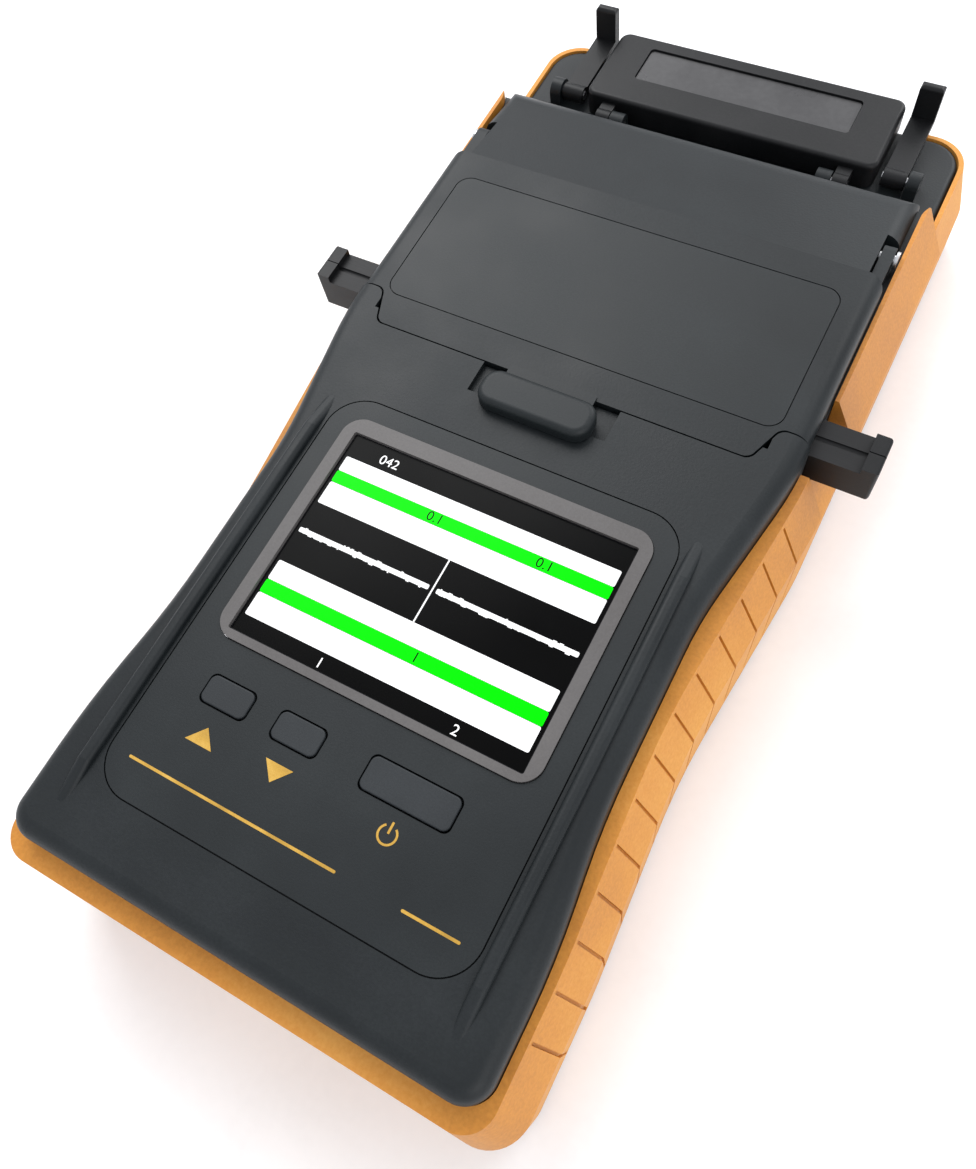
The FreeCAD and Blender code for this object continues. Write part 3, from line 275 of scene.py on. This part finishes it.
MATERIALS = {make.__name__: make() for make in (
    case_plastic, panel_plastic, orange_rubber, bezel_plastic, black_plastic, key_rubber, foot_rubber,
    black_metal, dark_metal, steel, aluminium, ceramic, circuit_board, battery_wrap, screen_glass,
    tinted_window, gold_print)}
MATERIALS["display_metal"] = MATERIALS["aluminium"]
MATERIALS["display_white"] = lit_layer("display_white", (0.95, 0.95, 0.95), 0.85)
MATERIALS["display_green"] = lit_layer("display_green", (0.0, 0.95, 0.0), 0.8)
MATERIALS["display_black"] = lit_layer("display_black", (0.002, 0.002, 0.002), 0.02)


def dress_nodes():
    """Give every CAD node the worked material of its record slot."""
    for part in frame["record"]["subparts"]:
        thing = frame["nodes"][part["node"]]
        chosen = MATERIALS[part["material_slot"]]
        thing.data.materials.clear()
        thing.data.materials.append(chosen)


# ---- building pieces -------------------------------------------------------------------------------

def piece(name, mesh, material, body):
    """Make an object of a bmesh, with its material, and let it ride on its body."""
    data = bpy.data.meshes.new(name)
    mesh.to_mesh(data)
    mesh.free()
    thing = bpy.data.objects.new(name, data)
    bpy.context.collection.objects.link(thing)
    data.materials.append(MATERIALS[material])
    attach(thing, body)
    return thing


def slab(mesh, outline, bottom, top):
    """Add a flat closed layer with the given outline, points running anticlockwise."""
    lower = [mesh.verts.new((x, y, bottom)) for x, y in outline]
    upper = [mesh.verts.new((x, y, top)) for x, y in outline]
    mesh.faces.new(list(reversed(lower)))
    mesh.faces.new(upper)
    for index in range(len(outline)):
        after = (index + 1) % len(outline)
        mesh.faces.new((lower[index], lower[after], upper[after], upper[index]))


def rounded(x_low, x_high, y_low, y_high, radius, steps=6):
    """Points of a rounded rectangle, anticlockwise."""
    points = []
    corners = [(x_high - radius, y_low + radius, -90), (x_high - radius, y_high - radius, 0),
               (x_low + radius, y_high - radius, 90), (x_low + radius, y_low + radius, 180)]
    for x, y, turn in corners:
        for step in range(steps + 1):
            angle = math.radians(turn + 90 * step / steps)
            points.append((x + radius * math.cos(angle), y + radius * math.sin(angle)))
    return points


def ring_layer(mesh, x, y, inner, outer, bottom, top, start=0, sweep=360, steps=48):
    """Add a flat band along a circle or an arc of one."""
    count = max(6, int(steps * sweep / 360))
    closed = sweep >= 360
    rows = []
    for step in range(count + (0 if closed else 1)):
        angle = math.radians(start + sweep * step / count)
        c, s = math.cos(angle), math.sin(angle)
        rows.append([mesh.verts.new((x + r * c, y + r * s, z))
                     for r, z in ((inner, bottom), (outer, bottom), (outer, top), (inner, top))])
    pairs = list(zip(rows, rows[1:])) + ([(rows[-1], rows[0])] if closed else [])
    for one, two in pairs:
        for index in range(4):
            after = (index + 1) % 4
            mesh.faces.new((one[index], one[after], two[after], two[index]))
    if not closed:
        mesh.faces.new(rows[0])
        mesh.faces.new(list(reversed(rows[-1])))


def number(name, text, place, tall, thick, material):
    """Flat digits on the display, as a mesh."""
    curve = bpy.data.curves.new(name, "FONT")
    curve.body = text
    curve.size = tall
    curve.extrude = thick / 2
    maker = bpy.data.objects.new(f"{name}_curve", curve)
    flat = bpy.data.meshes.new_from_object(maker)
    bpy.data.objects.remove(maker)
    mesh = bmesh.new()
    mesh.from_mesh(flat)
    bmesh.ops.translate(mesh, verts=mesh.verts, vec=Vector(place) + Vector((0, 0, thick / 2)))
    bmesh.ops.recalc_face_normals(mesh, faces=mesh.faces)
    piece(name, mesh, material, "case")


# ---- display ------------------------------------------------------------------------------------------

def make_display():
    """Lit picture under the glass: white, green and black bands with the two fibre ends in the middle."""
    left, right = GLASS_LOW[0], GLASS_HIGH[0]
    low, high = GLASS_LOW[1], GLASS_HIGH[1]
    wide, deep = right - left, high - low
    face = GLASS_HIGH[2]
    layer = 0.03 * MM
    lift = 0.004 * MM
    margin = 0.015 * wide
    ground_inset = 0.2 * MM
    fibre_gap = (0.486, 0.514)
    fibre_line = (0.488, 0.510)
    ragged_marks = 26

    def band(mesh, start, end, x_from=0.0, x_to=1.0, level=1, radius=0.0004):
        """One rectangle of the picture: fractions from the top edge and from the left edge."""
        x_low = left + margin + (wide - 2 * margin) * x_from
        x_high = left + margin + (wide - 2 * margin) * x_to
        outline = rounded(x_low, x_high, high - deep * end, high - deep * start, radius, 3)
        slab(mesh, outline, face + layer * (level - 1) + lift, face + layer * level + lift)

    base = bmesh.new()
    ground = rounded(left + ground_inset, right - ground_inset, low + ground_inset, high - ground_inset,
                     0.4 * MM, 3)
    slab(base, ground, face, face + layer * 0.5)
    piece("display_ground", base, "display_black", "case")
    white = bmesh.new()
    for start, end in ((0.112, 0.186), (0.247, 0.357), (0.655, 0.747), (0.812, 0.920)):
        band(white, start, end, level=1)
    random.seed(7)
    for x_from, x_to in ((0.0, fibre_gap[0]), (fibre_gap[1], 1.0)):
        band(white, *fibre_line, x_from, x_to, level=3, radius=0.0003)
        for _ in range(ragged_marks):
            x = random.uniform(x_from, x_to - 0.02)
            below = random.random() < 0.6
            start = 0.506 if below else 0.484
            band(white, start, start + random.uniform(0.005, 0.010), x, x + random.uniform(0.003, 0.016),
                 level=3, radius=0.00003)
    band(white, 0.357, 0.655, 0.4975, 0.5025, level=2, radius=0.0001)
    piece("display_white_bands", white, "display_white", "case")
    green = bmesh.new()
    for start, end in ((0.188, 0.245), (0.749, 0.810)):
        band(green, start, end, level=2)
    piece("display_green_bands", green, "display_green", "case")
    digits_tall = 3.3 * MM
    digits_lift = 0.006 * MM
    for name, text, across, down, ink, level in (
            ("display_number_gain", "042", 0.12, 0.085, "display_white", 1),
            ("display_number_left", "0.1", 0.36, 0.235, "display_black", 2),
            ("display_number_right", "0.1", 0.74, 0.235, "display_black", 2),
            ("display_number_offset", "1", 0.55, 0.800, "display_black", 2),
            ("display_number_first", "1", 0.30, 0.985, "display_white", 1),
            ("display_number_second", "2", 0.76, 0.985, "display_white", 1)):
        place = (left + wide * across, high - deep * down, face + layer * level + digits_lift)
        number(name, text, place, digits_tall, layer, ink)


# ---- marks beside the keys ----------------------------------------------------------------------------

def make_marks():
    """Printed arrows under the up and down keys, the on-off sign and two plain rules."""
    print_thick = 0.06 * MM
    floor, top = PANEL_TOP, PANEL_TOP + print_thick
    half, tall = 3.3 * MM, 3.9 * MM
    sign_inner, sign_outer = 1.7 * MM, 2.15 * MM
    rule_wide = 0.6 * MM
    up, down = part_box("up_key"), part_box("down_key")
    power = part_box("power_key")
    marks = bmesh.new()
    for (low, high), tip, below in ((up, 1, 6.85), (down, -1, 2.65)):
        x = (low[0] + high[0]) / 2
        base_y = low[1] - below * MM
        outline = [(x - half, base_y), (x + half, base_y), (x, base_y + tip * tall)]
        slab(marks, outline if tip > 0 else list(reversed(outline)), floor, top)
    x, y = (power[0][0] + power[1][0]) / 2, power[0][1] - 4.05 * MM
    ring_layer(marks, x, y, sign_inner, sign_outer, floor, top, start=125, sweep=290)
    slab(marks, rounded(x - 0.24 * MM, x + 0.24 * MM, y + 0.2 * MM, y + 2.6 * MM, 0.1 * MM, 2), floor, top)
    piece("panel_marks", marks, "gold_print", "case")
    rules = bmesh.new()
    rule_y = PANEL_LOW[1] + 7.5 * MM
    for start, end in ((-38.0, 12.0), (26.5, 39.0)):
        slab(rules, rounded(start * MM, end * MM, rule_y, rule_y + rule_wide, 0.28 * MM, 3), floor, top)
    piece("panel_rules", rules, "gold_print", "case")


# ---- camera, light and floor -----------------------------------------------------------------------

def make_camera():
    """Camera in front and to the right, looking steeply down on the keys and screen."""
    right = Vector((0.87569, 0.46849, -0.11703))
    up = Vector((-0.38839, 0.82734, 0.40579))
    back = Vector((0.28693, -0.30989, 0.90644))
    place = Vector((68.39, -105.66, 235.75)) * MM
    data = bpy.data.cameras.new("view")
    data.sensor_width = 36.0
    data.lens = 29.98
    data.clip_start = 0.01
    camera = bpy.data.objects.new("view", data)
    turn = Matrix((right, up, back)).transposed().to_4x4()
    camera.matrix_world = Matrix.Translation(place) @ turn
    bpy.context.collection.objects.link(camera)
    bpy.context.scene.camera = camera


def area_light(name, place, target, wide, power, colour=(1, 1, 1)):
    """Soft rectangular light aimed at a point."""
    data = bpy.data.lights.new(name, "AREA")
    data.shape = "SQUARE"
    data.size = wide
    data.energy = power
    data.color = colour
    light = bpy.data.objects.new(name, data)
    light.location = place
    aim = Vector(target) - Vector(place)
    light.rotation_euler = aim.to_track_quat("-Z", "Y").to_euler()
    bpy.context.collection.objects.link(light)


def make_studio():
    """Pale floor, even world light and three soft lights."""
    world = bpy.data.worlds.new("studio")
    world.use_nodes = True
    world.node_tree.nodes["Background"].inputs["Color"].default_value = (0.93, 0.95, 1.0, 1)
    world.node_tree.nodes["Background"].inputs["Strength"].default_value = 0.95
    bpy.context.scene.world = world
    bpy.context.scene.view_settings.view_transform = "Standard"
    area_light("key_light", (-0.55, 0.55, 0.9), (0, 0, 0.03), 0.7, 9.0)
    area_light("fill_light", (0.9, -0.5, 0.7), (0, 0, 0.03), 0.8, 4.0)
    area_light("back_light", (0.3, 1.0, 0.6), (0, 0.05, 0.03), 0.6, 5.0)
    mesh = bmesh.new()
    bmesh.ops.create_grid(mesh, x_segments=1, y_segments=1, size=3.0)
    data = bpy.data.meshes.new("floor")
    mesh.to_mesh(data)
    mesh.free()
    floor = bpy.data.objects.new("floor", data)
    bpy.context.collection.objects.link(floor)
    paper = surface("floor_paper", [(0.88, 0.88, 0.88), (0.91, 0.91, 0.91), (0.93, 0.93, 0.93)],
                    (0.7, 0.85), 400.0, 0.00002)
    data.materials.append(paper)


dress_nodes()
make_display()
make_marks()
make_camera()
make_studio()
